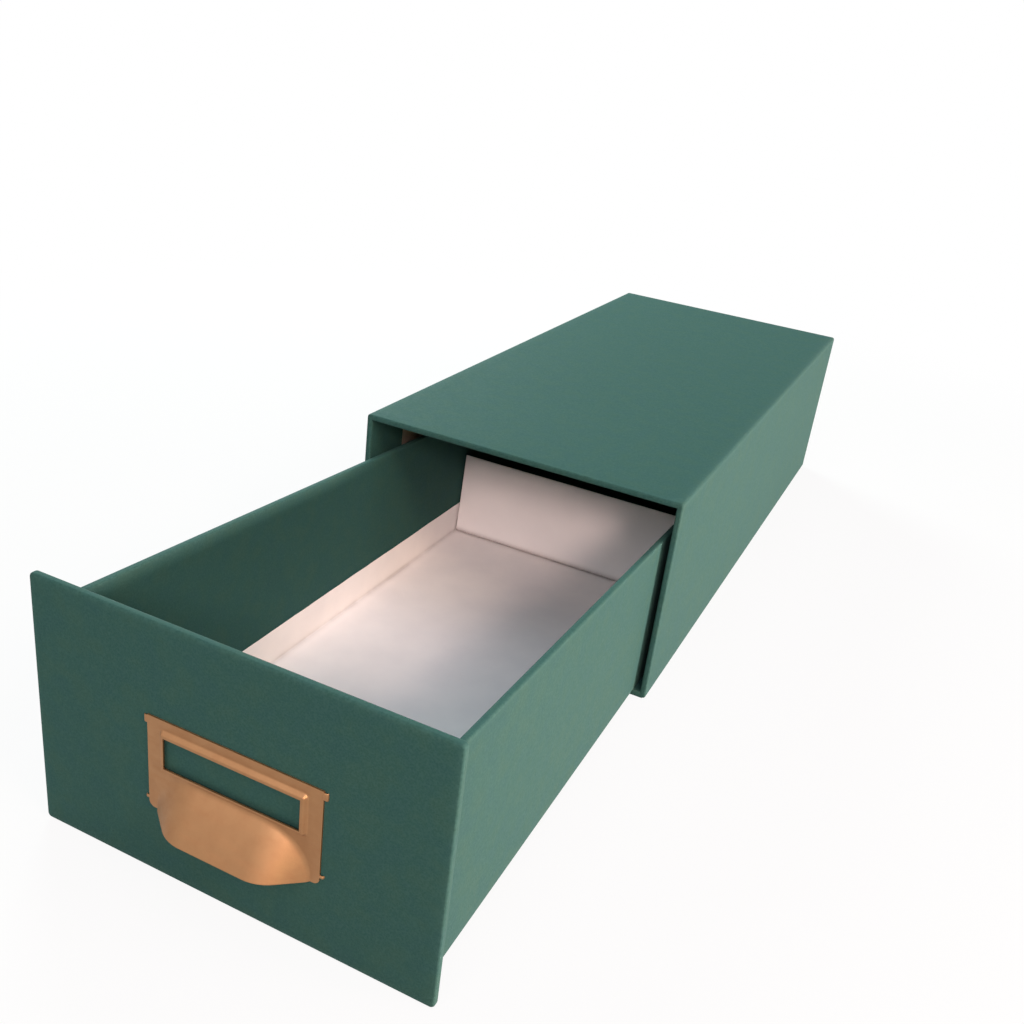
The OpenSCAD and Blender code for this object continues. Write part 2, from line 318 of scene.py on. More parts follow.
@dataclass(frozen=True)
class GreenPaper:
    """Dark green covering paper with a fine leather grain, paler along its folds from wear and from a
    painted highlight on the edges.
    """

    base: Colour = (0.0215, 0.070, 0.060)
    blue_cast: Colour = (0.0205, 0.068, 0.062)
    yellow_cast: Colour = (0.0245, 0.072, 0.058)
    # Paler colour for the grain tops, and along the folds for wear and a painted highlight on the edges.
    rubbed: Colour = (0.052, 0.125, 0.110)
    cloud: float = 7.0
    cloud_detail: float = 4.0
    blue_span: Range = (0.35, 0.5)
    yellow_span: Range = (0.5, 0.65)
    pebble: float = 0.55
    pebble_span: Range = (0.1, 0.7)
    pebble_rub: Range = (0.0, 0.24)
    pebble_depth: float = 0.05
    pebble_strength: float = 0.35
    edge_fade: float = 6.0
    edge_span: Range = (0.35, 0.65)
    edge_wear_and_highlight: Range = (0.05, 0.35)
    roughness: Range = (0.66, 0.80)
    gloss: float = 0.06
    sheen: float = 0.03
    sheen_roughness: float = 0.4
    sheen_tint: Colour = (0.75, 0.95, 0.88)

    def make(self) -> bpy.types.Material:
        """Builds the material.

        Returns:
            The material.
        """
        graph = Graph(Slot.GREEN_PAPER)
        cloud = graph.noise(self.cloud, self.cloud_detail)
        fine = graph.noise(self.pebble * 2)
        grain = graph.cells(self.pebble)
        blue = graph.mix(graph.remap(cloud, self.blue_span, FALLING), self.base, self.blue_cast)
        tone = graph.mix(graph.remap(cloud, self.yellow_span, RISING), blue, self.yellow_cast)
        speck = graph.mix(graph.remap(grain, self.pebble_span, self.pebble_rub), tone, self.rubbed)
        # Wear and painted highlight: the folds are lightened towards the paler colour.
        wear_and_highlight = graph.along_folds(self.edge_fade, fine, self.edge_span, self.edge_wear_and_highlight)
        return graph.finish(
            Base_Color=graph.mix(wear_and_highlight, speck, self.rubbed),
            Roughness=graph.remap(fine, MOST_NOISE, self.roughness),
            Specular_IOR_Level=self.gloss,
            Sheen_Weight=self.sheen,
            Sheen_Roughness=self.sheen_roughness,
            Sheen_Tint=self.sheen_tint,
            Normal=graph.bump(grain, self.pebble_depth, self.pebble_strength),
        )


@dataclass(frozen=True)
class WhitePaper:
    """Plain lining paper, a little cloudy, with painted shade along its creases."""

    base: Colour = (0.85, 0.82, 0.795)
    shade: Colour = (0.79, 0.765, 0.75)
    crease_shade: Colour = (0.52, 0.49, 0.47)
    crease_shade_fade: float = 5.0
    crease_shade_share: Range = (0.2, 0.8)
    cloud: float = 18.0
    cloud_span: Range = (0.35, 0.7)
    cloud_share: Range = (0.0, 0.8)
    cockle: float = 9.0
    cockle_depth: float = 0.25
    cockle_strength: float = 0.35
    fibre: float = 0.5
    detail: float = 3.0
    fibre_depth: float = 0.02
    fibre_strength: float = 0.3
    roughness: Range = (0.70, 0.82)
    gloss: float = 0.3

    def make(self) -> bpy.types.Material:
        """Builds the material.

        Returns:
            The material.
        """
        graph = Graph(Slot.WHITE_PAPER)
        cloud = graph.noise(self.cloud, self.detail)
        fibre = graph.noise(self.fibre, self.detail)
        tone = graph.mix(graph.remap(cloud, self.cloud_span, self.cloud_share), self.base, self.shade)
        # Painted shade: the crease where the lining turns up the walls is darkened.
        mark = graph.along_folds(self.crease_shade_fade, cloud, MOST_NOISE, self.crease_shade_share)
        cockled = graph.bump(graph.noise(self.cockle), self.cockle_depth, self.cockle_strength)
        return graph.finish(
            Base_Color=graph.mix(mark, tone, self.crease_shade),
            Roughness=graph.remap(fibre, MOST_NOISE, self.roughness),
            Specular_IOR_Level=self.gloss,
            Normal=graph.bump(fibre, self.fibre_depth, self.fibre_strength, cockled),
        )


@dataclass(frozen=True)
class WhiteCard:
    """Smooth white card, with a painted shadow along the fold that it stands and slides on."""

    base: Colour = (0.86, 0.835, 0.815)
    shade: Colour = (0.81, 0.785, 0.77)
    foot_shadow: Colour = (0.20, 0.15, 0.13)
    foot_shadow_fade: float = 2.5
    foot_shadow_share: Range = (0.6, 0.95)
    cloud: float = 22.0
    cloud_span: Range = (0.35, 0.7)
    cloud_share: Range = (0.0, 0.7)
    fibre: float = 0.35
    detail: float = 3.0
    fibre_depth: float = 0.015
    fibre_strength: float = 0.3
    roughness: Range = (0.58, 0.7)
    gloss: float = 0.35

    def make(self) -> bpy.types.Material:
        """Builds the material.

        Returns:
            The material.
        """
        graph = Graph(Slot.WHITE_CARD)
        cloud = graph.noise(self.cloud, self.detail)
        fibre = graph.noise(self.fibre, self.detail)
        tone = graph.mix(graph.remap(cloud, self.cloud_span, self.cloud_share), self.base, self.shade)
        # Painted shadow: the fold at the front foot is darkened for the shadow under the card's front edge.
        mark = graph.along_folds(self.foot_shadow_fade, fibre, MOST_NOISE, self.foot_shadow_share)
        return graph.finish(
            Base_Color=graph.mix(mark, tone, self.foot_shadow),
            Roughness=graph.remap(fibre, MOST_NOISE, self.roughness),
            Specular_IOR_Level=self.gloss,
            Normal=graph.bump(fibre, self.fibre_depth, self.fibre_strength),
        )


@dataclass(frozen=True)
class GreyBoard:
    """Bare board of pulped paper, with fibres and flecks pressed into it."""

    base: Colour = (0.30, 0.25, 0.195)
    dark: Colour = (0.22, 0.18, 0.14)
    fleck: Colour = (0.42, 0.37, 0.30)
    cloud: float = 6.0
    cloud_detail: float = 5.0
    cloud_span: Range = (0.35, 0.65)
    cloud_share: Range = (0.0, 0.7)
    fibre: float = 0.45
    fibre_detail: float = 3.0
    fibre_stretch: Point = (1.0, 0.25, 1.0)
    fibre_depth: float = 0.06
    fibre_strength: float = 0.5
    fleck_span: Range = (0.58, 0.68)
    fleck_share: Range = (0.0, 0.6)
    roughness: Range = (0.85, 0.95)
    gloss: float = 0.2

    def make(self) -> bpy.types.Material:
        """Builds the material.

        Returns:
            The material.
        """
        graph = Graph(Slot.GREY_BOARD)
        cloud = graph.noise(self.cloud, self.cloud_detail)
        fibre = graph.noise(self.fibre, self.fibre_detail, self.fibre_stretch)
        tone = graph.mix(graph.remap(cloud, self.cloud_span, self.cloud_share), self.base, self.dark)
        return graph.finish(
            Base_Color=graph.mix(graph.remap(fibre, self.fleck_span, self.fleck_share), tone, self.fleck),
            Roughness=graph.remap(fibre, MOST_NOISE, self.roughness),
            Specular_IOR_Level=self.gloss,
            Normal=graph.bump(fibre, self.fibre_depth, self.fibre_strength),
        )


@dataclass(frozen=True)
class StayTape:
    """Gummed kraft tape with fibres along its length."""

    base: Colour = (0.50, 0.34, 0.19)
    dark: Colour = (0.40, 0.26, 0.14)
    fibre: float = 0.5
    fibre_detail: float = 3.0
    fibre_stretch: Point = (1.0, 0.15, 1.0)
    fibre_span: Range = (0.35, 0.65)
    fibre_depth: float = 0.03
    fibre_strength: float = 0.3
    roughness: Range = (0.55, 0.75)

    def make(self) -> bpy.types.Material:
        """Builds the material.

        Returns:
            The material.
        """
        graph = Graph(Slot.STAY_TAPE)
        fibre = graph.noise(self.fibre, self.fibre_detail, self.fibre_stretch)
        return graph.finish(
            Base_Color=graph.mix(graph.remap(fibre, self.fibre_span, RISING), self.base, self.dark),
            Roughness=graph.remap(fibre, MOST_NOISE, self.roughness),
            Normal=graph.bump(fibre, self.fibre_depth, self.fibre_strength),
        )


@dataclass(frozen=True)
class CopperedSteel:
    """Satin copper-gold plating on stamped sheet, with faint handling marks."""

    base: Colour = (0.36, 0.190, 0.090)
    tarnish: Colour = (0.31, 0.160, 0.076)
    cloud: float = 5.0
    cloud_detail: float = 5.0
    cloud_span: Range = (0.4, 0.75)
    cloud_share: Range = (0.0, 0.7)
    satin: float = 0.12
    satin_depth: float = 0.01
    satin_strength: float = 0.25
    streak: float = 1.6
    streak_detail: float = 3.0
    streak_stretch: Point = (0.2, 1.0, 1.0)
    streak_span: Range = (0.4, 0.7)
    streak_roughness: Range = (-0.03, 0.05)
    roughness: Range = (0.47, 0.55)

    def make(self) -> bpy.types.Material:
        """Builds the material.

        Returns:
            The material.
        """
        graph = Graph(Slot.COPPERED_STEEL)
        cloud = graph.noise(self.cloud, self.cloud_detail)
        streak = graph.noise(self.streak, self.streak_detail, self.streak_stretch)
        tone = graph.mix(graph.remap(cloud, self.cloud_span, self.cloud_share), self.base, self.tarnish)
        rough = graph.remap(cloud, MOST_NOISE, self.roughness)
        rubbed = graph.remap(streak, self.streak_span, self.streak_roughness)
        return graph.finish(
            Base_Color=tone,
            Metallic=1.0,
            Roughness=graph.math("ADD", rough, rubbed),
            Normal=graph.bump(graph.noise(self.satin), self.satin_depth, self.satin_strength),
        )


class Finishes:
    """The finished material of every slot, made once."""

    def __init__(self) -> None:
        """Makes the materials."""
        makers = {
            Slot.GREEN_PAPER: GreenPaper(),
            Slot.WHITE_PAPER: WhitePaper(),
            Slot.WHITE_CARD: WhiteCard(),
            Slot.GREY_BOARD: GreyBoard(),
            Slot.STAY_TAPE: StayTape(),
            Slot.COPPERED_STEEL: CopperedSteel(),
        }
        self.made = {slot: maker.make() for slot, maker in makers.items()}

    def dress(self, piece: bpy.types.Object, slot: Slot) -> None:
        """Gives a piece one finish all over.

        Args:
            piece: The piece or CAD node.
            slot: The slot of its finish.
        """
        piece.data.materials.clear()
        piece.data.materials.append(self.made[slot])


def placed(name: str, data: bpy.types.ID) -> bpy.types.Object:
    """Puts a mesh, a lamp or a camera into the scene.

    Args:
        name: Name of the new object.
        data: The mesh, lamp or camera.

    Returns:
        The object.
    """
    made = bpy.data.objects.new(name, data)
    bpy.context.scene.collection.objects.link(made)
    return made


def corners(node: str) -> tuple[Vector, Vector]:
    """Lowest and highest corner of a CAD node in millimetres.

    Args:
        node: The node's name.

    Returns:
        The two corners.
    """
    low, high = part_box(node)
    return low / MM, high / MM


def rounded_line(points: Sequence[tuple[float, float]], radii: Sequence[float], step: float,
                 turn_steps: int = 5) -> np.ndarray:
    """Carries a line through corner points with round turns.

    Args:
        points: The corner points.
        radii: Radius of the turn at each point between the ends.
        step: Longest step on a straight stretch.
        turn_steps: Steps in each turn.

    Returns:
        Rows of two coordinates and 1 on a turn or 0 off it.
    """
    nodes = [np.array(p, float) for p in points]
    turns: list[list[np.ndarray]] = []
    for before, corner, after, radius in zip(nodes, nodes[1:], nodes[2:], radii):
        into = (corner - before) / np.linalg.norm(corner - before)
        out = (after - corner) / np.linalg.norm(after - corner)
        bend = math.acos(float(np.clip(into @ out, -1, 1)))
        side = (out - into * (into @ out)) / math.sin(bend)
        start = corner - into * radius * math.tan(bend / 2)
        middle = start + side * radius
        angles = np.linspace(0, bend, turn_steps + 1)
        turns.append([middle + radius * (into * math.sin(a) - side * math.cos(a)) for a in angles])
    rows: list[tuple[float, float, float]] = []
    place = nodes[0]
    for turn in [*turns, [nodes[-1]]]:
        count = max(1, math.ceil(np.linalg.norm(turn[0] - place) / step))
        straight = [place + (turn[0] - place) * k / count for k in range(1 if rows else 0, count)]
        rows.extend((*p, 0.0) for p in straight)
        rows.extend((*p, 1.0) for p in turn)
        place = turn[-1]
    rows[-1] = (*nodes[-1], 0.0)
    return np.array(rows)


@dataclass(frozen=True)
class Outline:
    """A rectangle with round corners that can be drawn in, as a ring of points that keeps its count."""

    low: tuple[float, float]
    high: tuple[float, float]
    radius: float
    step: float = 6.0
    corner_steps: int = 5
    least_radius: float = 0.12

    def ring(self, inset: float) -> np.ndarray:
        """Points of the outline, anticlockwise from the right end of its lower side.

        Args:
            inset: Distance drawn in from the outside.

        Returns:
            Rows of two coordinates, and 1 on a corner or 0 off it.
        """
        radius = max(self.radius - inset, self.least_radius)
        low = np.array(self.low) + inset + radius
        high = np.array(self.high) - inset - radius
        middles = np.array([(high[0], low[1]), (high[0], high[1]), (low[0], high[1]), (low[0], low[1])])
        rows = []
        for quarter, middle in enumerate(middles):
            for k in range(self.corner_steps + 1):
                angle = (quarter - 1 + k / self.corner_steps) * math.pi / 2
                spoke = radius * np.array((math.cos(angle), math.sin(angle)))
                rows.append((*(middle + spoke), 1.0))
            here = np.array(rows[-1][:2])
            run = middles[(quarter + 1) % 4] - middle
            count = self.side_steps(quarter)
            rows.extend((*(here + run * k / count), 0.0) for k in range(1, count))
        return np.array(rows)

    def side_steps(self, quarter: int) -> int:
        """Steps along one side, the right one first."""
        axis = (quarter + 1) % 2
        return max(1, round((self.high[axis] - self.low[axis]) / self.step))

    def lower_side(self) -> range:
        """Finds the columns of the faces on the lower side.

        Returns:
            The columns.
        """
        turns = 4 * self.corner_steps
        start = turns + sum(self.side_steps(quarter) for quarter in range(3))
        return range(start, start + self.side_steps(3))


def piece_from_grid(name: str, points: np.ndarray, fold: np.ndarray, thickness: float, closed: bool = False,
                    flip: bool = False, cap: bool = False,
                    leave_out: Callable[[int, int], bool] | None = None) -> bpy.types.Object:
    """Makes a sheet of even thickness from a grid of points on its outer face.

    Args:
        name: The piece's name.
        points: Places in millimetres, as rows, columns and coordinates.
        fold: A mark from 0 to 1 for each point.
        thickness: The sheet's thickness in millimetres.
        closed: Whether the columns join round.
        flip: Whether the outer face lies on the other side of the grid.
        cap: Whether the last row is filled by a face.
        leave_out: Says of a face, by its row and column, whether it is left out.

    Returns:
        The new piece.
    """
    grid = bmesh.new()
    mark = grid.verts.layers.float.new(FOLD)
    rows, columns = points.shape[:2]
    verts = []
    for place, value in zip(points.reshape(-1, 3), fold.reshape(-1)):
        vert = grid.verts.new(place * MM)
        vert[mark] = value
        verts.append(vert)
    for r in range(rows - 1):
        for c in range(columns if closed else columns - 1):
            after = (c + 1) % columns
            ids = [r * columns + c, r * columns + after, (r + 1) * columns + after, (r + 1) * columns + c]
            if leave_out is None or not leave_out(r, c):
                grid.faces.new([verts[i] for i in (ids[::-1] if flip else ids)])
    if cap:
        last = verts[-columns:]
        grid.faces.new(last[::-1] if flip else last)
    bmesh.ops.delete(grid, geom=[v for v in grid.verts if not v.link_faces], context="VERTS")
    mesh = bpy.data.meshes.new(name)
    grid.to_mesh(mesh)
    grid.free()
    piece = placed(name, mesh)
    thicken = piece.modifiers.new("thickness", "SOLIDIFY")
    thicken.thickness = thickness * MM
    thicken.offset = -1.0
    thicken.use_even_offset = True
    return piece


def settle(piece: bpy.types.Object, sharp_angle: float = 40.0) -> bpy.types.Object:
    """Fixes a piece's modifiers in its mesh and shades it smooth between sharp edges.

    Args:
        piece: The piece.
        sharp_angle: Least angle of a sharp edge in degrees.

    Returns:
        The same piece.
    """
    graph = bpy.context.evaluated_depsgraph_get()
    mesh = bpy.data.meshes.new_from_object(piece.evaluated_get(graph))
    piece.modifiers.clear()
    old = piece.data
    piece.data = mesh
    bpy.data.meshes.remove(old)
    mesh.name = piece.name
    mesh.shade_smooth()
    mesh.set_sharp_from_angle(angle=math.radians(sharp_angle))
    return piece


def ripple(points: np.ndarray, size: float, depth: float, seed: float) -> np.ndarray:
    """Slow unevenness of glued paper, as one value for each point.

    Args:
        points: Places in millimetres, with the coordinates last.
        size: Size of one wave in millimetres.
        depth: Depth of the waves in millimetres.
        seed: Shift of the pattern.

    Returns:
        Heights in millimetres.
    """
    flat = points.reshape(-1, 3) / size + seed
    return depth * np.array([noise.noise(Vector(p)) for p in flat]).reshape(points.shape[:-1])


def standing(ring: np.ndarray, y: float) -> np.ndarray:
    """Places of a ring that stands across the box at the depth y."""
    return np.column_stack([ring[:, 0], np.full(len(ring), y), ring[:, 1]])


def lying(ring: np.ndarray, z: float) -> np.ndarray:
    """Places of a ring that lies level at the height z."""
    return np.column_stack([ring, np.full(len(ring), z)])


def swept(outline: Outline, line: np.ndarray, place: Callable[[np.ndarray, float], np.ndarray],
          ) -> tuple[np.ndarray, np.ndarray]:
    """Carries an outline along a line of insets and distances.

    Args:
        outline: The outline.
        line: Rows of inset, distance and fold mark.
        place: Turns the ring's points and a distance into places.

    Returns:
        The grid of places, and the fold mark of each.
    """
    rings = [outline.ring(row[0]) for row in line]
    points = np.array([place(ring[:, :2], row[1]) for ring, row in zip(rings, line)])
    fold = np.array([np.maximum(ring[:, 2], row[2]) for ring, row in zip(rings, line)])
    return points, fold


def hand_over(piece: bpy.types.Object, body: Body, slot: Slot, finishes: Finishes, node: str,
              ) -> bpy.types.Object:
    """Dresses a piece and puts it in the place of a CAD node.

    Args:
        piece: The piece.
        body: The body that it rides on.
        slot: Its material slot.
        finishes: The finished materials.
        node: The CAD node that it stands for.

    Returns:
        The same piece.
    """
    finishes.dress(piece, slot)
    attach(piece, body.value)
    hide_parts(node)
    return piece


@dataclass
class Slipcase:
    """The board case: its paper cover, base sheet, back sheet, boards and stays."""

    finishes: Finishes
    edge_radius: float = 1.4
    rim_radius: float = 0.8
    turn_in: float = 28.0
    flap: float = 18.0
    back_turn: float = 15.0
    behind_rim: float = 0.03
    step: float = 6.0
    face_margin: float = 0.1
    wave: float = 55.0
    wave_depth: float = 0.10
    wave_seed: float = 3.1
    low: Vector = field(init=False)
    high: Vector = field(init=False)
    base_low: Vector = field(init=False)
    base_high: Vector = field(init=False)
    paper: float = field(init=False)
    wall: float = field(init=False)

    def __post_init__(self) -> None:
        """Takes the places of the boards and papers from the frame."""
        self.low, self.high = corners("case_cover")
        sheet_low, sheet_high = corners("case_back_sheet")
        self.paper = sheet_high.y - sheet_low.y
        _, floor_high = corners("case_bottom_board")
        self.wall = self.high.x - floor_high.x + self.paper
        self.base_low, self.base_high = corners("case_base_sheet")

    def cover(self) -> bpy.types.Object:
        """Makes the cover: flaps under the bottom, turned over the back and in at the mouth.

        Returns:
            The cover.
        """
        outline = Outline(tuple(self.low.xz), tuple(self.high.xz), self.edge_radius, self.step)
        front, back = self.low.y, self.high.y
        line = rounded_line(
            [(self.back_turn, back), (0, back), (0, front), (self.wall, front),
             (self.wall, front + self.turn_in)],
            [self.rim_radius] * 3, self.step)
        points, fold = swept(outline, line, standing)
        from_middle = points - np.array([0, 0, (self.low.z + self.high.z) / 2])
        half = np.array([self.high.x, np.inf, (self.high.z - self.low.z) / 2])
        on_face = np.abs(from_middle) > half - self.face_margin
        lift = (fold < FLAT_BELOW) * ripple(points, self.wave, self.wave_depth, self.wave_seed)
        points = points + np.sign(from_middle) * on_face * lift[..., None]
        outside = np.abs(line[:, 0]) < NO_LENGTH
        inside = line[:, 0] > self.wall - NO_LENGTH
        lower = outline.lower_side()
        flap_x = self.high.x - self.flap

        def cut_away(row: int, column: int) -> bool:
            """Tells where the paper is cut away: under the bottom and on the case floor.

            Args:
                row: Row of a face.
                column: Its column.

            Returns:
                Whether the face is left out.
            """
            if column in lower:
                between = abs(points[row, column, 0]) < flap_x
                return bool(between or not (outside[row] and outside[row + 1]))
            corner = column < outline.corner_steps or column >= lower.start - outline.corner_steps
            return bool(corner and line[row, 1] < 0 and inside[row])

        piece = piece_from_grid("case_cover_paper", points, fold, self.paper, closed=True,
                                leave_out=cut_away)
        return hand_over(settle(piece), Body.CASE, Slot.GREEN_PAPER, self.finishes, "case_cover")

    def base_sheet(self) -> bpy.types.Object:
        """Makes the sheet under the bottom, carried over the lower lip on to the case floor.

        Returns:
            The sheet.
        """
        low, high = self.base_low, self.base_high
        front = low.y + self.behind_rim
        line = rounded_line(
            [(high.y, low.z), (front, low.z), (front, high.z), (front + self.turn_in, high.z)],
            [self.rim_radius] * 2, self.step)
        lip_x = self.high.x - self.edge_radius
        across = np.linspace(-1, 1, 2 * round(lip_x / self.step) + 1)
        underneath = (line[:, 1] < low.z + CLOSE) & (line[:, 0] > front + self.step)
        halves = np.where(underneath, high.x, lip_x)
        points = np.array([[(s * half, y, z) for s in across] for half, (y, z, _) in zip(halves, line)])
        fold = np.repeat(line[:, 2:3], len(across), axis=1)
        piece = piece_from_grid("case_base_paper", points, fold, self.paper)
        return hand_over(settle(piece), Body.CASE, Slot.GREEN_PAPER, self.finishes, "case_base_sheet")

    def build(self) -> list[bpy.types.Object]:
        """Makes the papers and dresses the boards, stays and back sheet.

        Returns:
            The case's pieces.
        """
        boards = [f"case_{side}_board" for side in ("top", "bottom", "left", "right", "back")]
        slots = dict.fromkeys(boards, Slot.GREY_BOARD)
        slots |= {"case_edge_stays": Slot.STAY_TAPE, "case_back_sheet": Slot.GREEN_PAPER}
        return [self.cover(), self.base_sheet(), *dress_nodes(slots, self.finishes)]


def dress_nodes(slots: dict[str, Slot], finishes: Finishes) -> list[bpy.types.Object]:
    """Gives CAD nodes that stay in view their finishes.

    Args:
        slots: Slot of each node.
        finishes: The finished materials.

    Returns:
        The nodes' objects.
    """
    dressed = []
    for name, slot in slots.items():
        finishes.dress(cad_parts[name], slot)
        dressed.append(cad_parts[name])
    return dressed


@dataclass
class DrawerTray:
    """The drawer's tray: wrap, liner, boards and stays."""

    finishes: Finishes
    corner_radius: float = 1.4
    top_radius: float = 0.8
    foot_radius: float = 0.8
    crease_radius: float = 0.6
    under_flap: float = 12.0
    liner_lap: float = 7.0
    back_short: float = 4.0
    step: float = 5.0
    foot_clear: float = 1.0
    margin_end: float = 0.01
    wave: float = 48.0
    wave_depth: float = 0.16
    wall_seed: float = 7.3
    floor_seed: float = 5.9
    wrinkle: float = 9.0
    wrinkle_depth: float = 0.22
    wrinkle_seed: float = 2.7
    low: Vector = field(init=False)
    high: Vector = field(init=False)
    liner_high: Vector = field(init=False)
    floor_high: Vector = field(init=False)
    paper: float = field(init=False)
    wall: float = field(init=False)
    fall: float = field(init=False)

    def __post_init__(self) -> None:
        """Takes the places of the walls and papers from the frame."""
        self.low, self.high = corners("drawer_wrap")
        _, self.liner_high = corners("drawer_liner")
        floor_low, self.floor_high = corners("drawer_bottom")
        self.paper = floor_low.z - self.low.z
        front_low, front_high = corners("drawer_front_wall")
        back_low, back_high = corners("drawer_back_wall")
        self.fall = (front_high.z - back_high.z) / (back_low.y - front_low.y)
        self.wall = self.high.x - self.liner_high.x

    def outline(self) -> Outline:
        """The walls' outline from above."""
        return Outline(tuple(self.low.xy), tuple(self.high.xy), self.corner_radius, self.step)

    def lowered(self, points: np.ndarray) -> np.ndarray:
        """Lets the wall tops fall towards the rear.

        Args:
            points: Places of the wrap with level tops.

        Returns:
            The places under the sloping line.
        """
        foot = self.liner_high.z - self.liner_lap
        share = np.clip((points[..., 2] - foot) / (self.high.z - self.top_radius - foot), 0, 1)
        fallen = points.copy()
        fallen[..., 2] -= share * self.fall * (points[..., 1] - self.low.y)
        return fallen

    def wrap(self) -> bpy.types.Object:
        """Makes the wrap: flaps underneath, up the outsides, over the top edges and down the insides.

        Returns:
            The wrap.
        """
        foot, top = self.low.z, self.high.z
        line = rounded_line(
            [(self.under_flap, foot), (0, foot), (0, top), (self.wall, top),
             (self.wall, self.liner_high.z - self.liner_lap)],
            [self.foot_radius, self.top_radius, self.top_radius], self.step)
        points, fold = swept(self.outline(), line, lying)
        inside = line[:, 0] > self.wall - CLOSE
        flat = (fold < FLAT_BELOW) & (line[:, 1] > foot + self.foot_clear)[:, None]
        lift = flat * (self.wave_depth / 2 + ripple(points, self.wave, self.wave_depth, self.wall_seed) / 2)
        on_side = np.abs(points[..., 0]) > self.high.x - self.wall - CLOSE
        outward = np.sign(points[..., 0]) * np.where(inside[:, None], -1, 1)
        points[..., 0] += np.where(on_side, outward * lift, 0)
        piece = piece_from_grid("drawer_wrap_paper", self.lowered(points), fold, self.paper, closed=True)
        return hand_over(settle(piece), Body.DRAWER, Slot.GREEN_PAPER, self.finishes, "drawer_wrap")

    def liner(self) -> bpy.types.Object:
        """Makes the lining: a sheet over the floor with its margins turned up the walls.

        Returns:
            The lining.
        """
        inset = self.wall + self.paper
        floor = self.floor_high.z + self.paper
        line = rounded_line([(inset, self.liner_high.z), (inset, floor), (self.high.x - CAP_HALF, floor)],
                            [self.crease_radius], self.step)
        points, fold = swept(self.outline(), line, lying)
        # The crease is marked, and the lining's finish paints shade along it.
        fold[:, :] = line[:, 2:3]
        turn = line[:, 2:3]
        margin = (line[:, 1:2] - floor) / (self.liner_high.z - floor)
        rough = ripple(points, self.wrinkle, self.wrinkle_depth, self.wrinkle_seed)
        points[..., 2] += turn * np.abs(rough) + (margin > 1 - self.margin_end) * rough
        on_floor = margin < self.margin_end
        points[..., 2] += on_floor * ripple(points, self.wave, self.wave_depth, self.floor_seed)
        on_back = points[..., 1] > self.high.y - inset - self.corner_radius
        points[..., 2] -= on_back * np.clip(margin, 0, 1) * self.back_short
        piece = piece_from_grid("drawer_lining", points, fold, self.paper, closed=True, cap=True)
        return hand_over(settle(piece), Body.DRAWER, Slot.WHITE_PAPER, self.finishes, "drawer_liner")

    def build(self) -> list[bpy.types.Object]:
        """Makes the papers and dresses the boards and stays.

        Returns:
            The tray's pieces.
        """
        walls = [f"drawer_{side}_wall" for side in ("front", "back", "left", "right")]
        slots = dict.fromkeys([*walls, "drawer_bottom"], Slot.GREY_BOARD)
        slots["drawer_corner_stays"] = Slot.STAY_TAPE
        return [self.wrap(), self.liner(), *dress_nodes(slots, self.finishes)]


@dataclass
class FrontPanel:
    """The drawer's front panel: a board with its paper cover turned in behind."""

    finishes: Finishes
    corner_radius: float = 1.6
    edge_radius: float = 0.8
    turn_in: float = 18.0
    step: float = 5.0
    low: Vector = field(init=False)
    high: Vector = field(init=False)
    paper: float = field(init=False)

    def __post_init__(self) -> None:
        """Takes the panel's place from the frame."""
        self.low, self.high = corners("front_panel_cover")
        board_low, _ = corners("front_panel_board")
        self.paper = board_low.y - self.low.y

    def cover(self) -> bpy.types.Object:
        """Makes the cover: a turn-in behind, carried round the edges and over the face.

        Returns:
            The cover.
        """
        outline = Outline(tuple(self.low.xz), tuple(self.high.xz), self.corner_radius, self.step)
        half = (self.high.z - self.low.z) / 2 - CAP_HALF
        front, back = self.low.y, self.high.y
        line = rounded_line([(self.turn_in, back), (0, back), (0, front), (half, front)],
                            [self.edge_radius] * 2, self.step)
        points, fold = swept(outline, line, standing)
        fold[:, :] = line[:, 2:3]
        piece = piece_from_grid("front_panel_paper", points, fold, self.paper, closed=True, cap=True)
        return hand_over(settle(piece), Body.DRAWER, Slot.GREEN_PAPER, self.finishes, "front_panel_cover")

    def build(self) -> list[bpy.types.Object]:
        """Makes the cover and dresses the board.

        Returns:
            The panel's pieces.
        """
        return [self.cover(), *dress_nodes({"front_panel_board": Slot.GREY_BOARD}, self.finishes)]


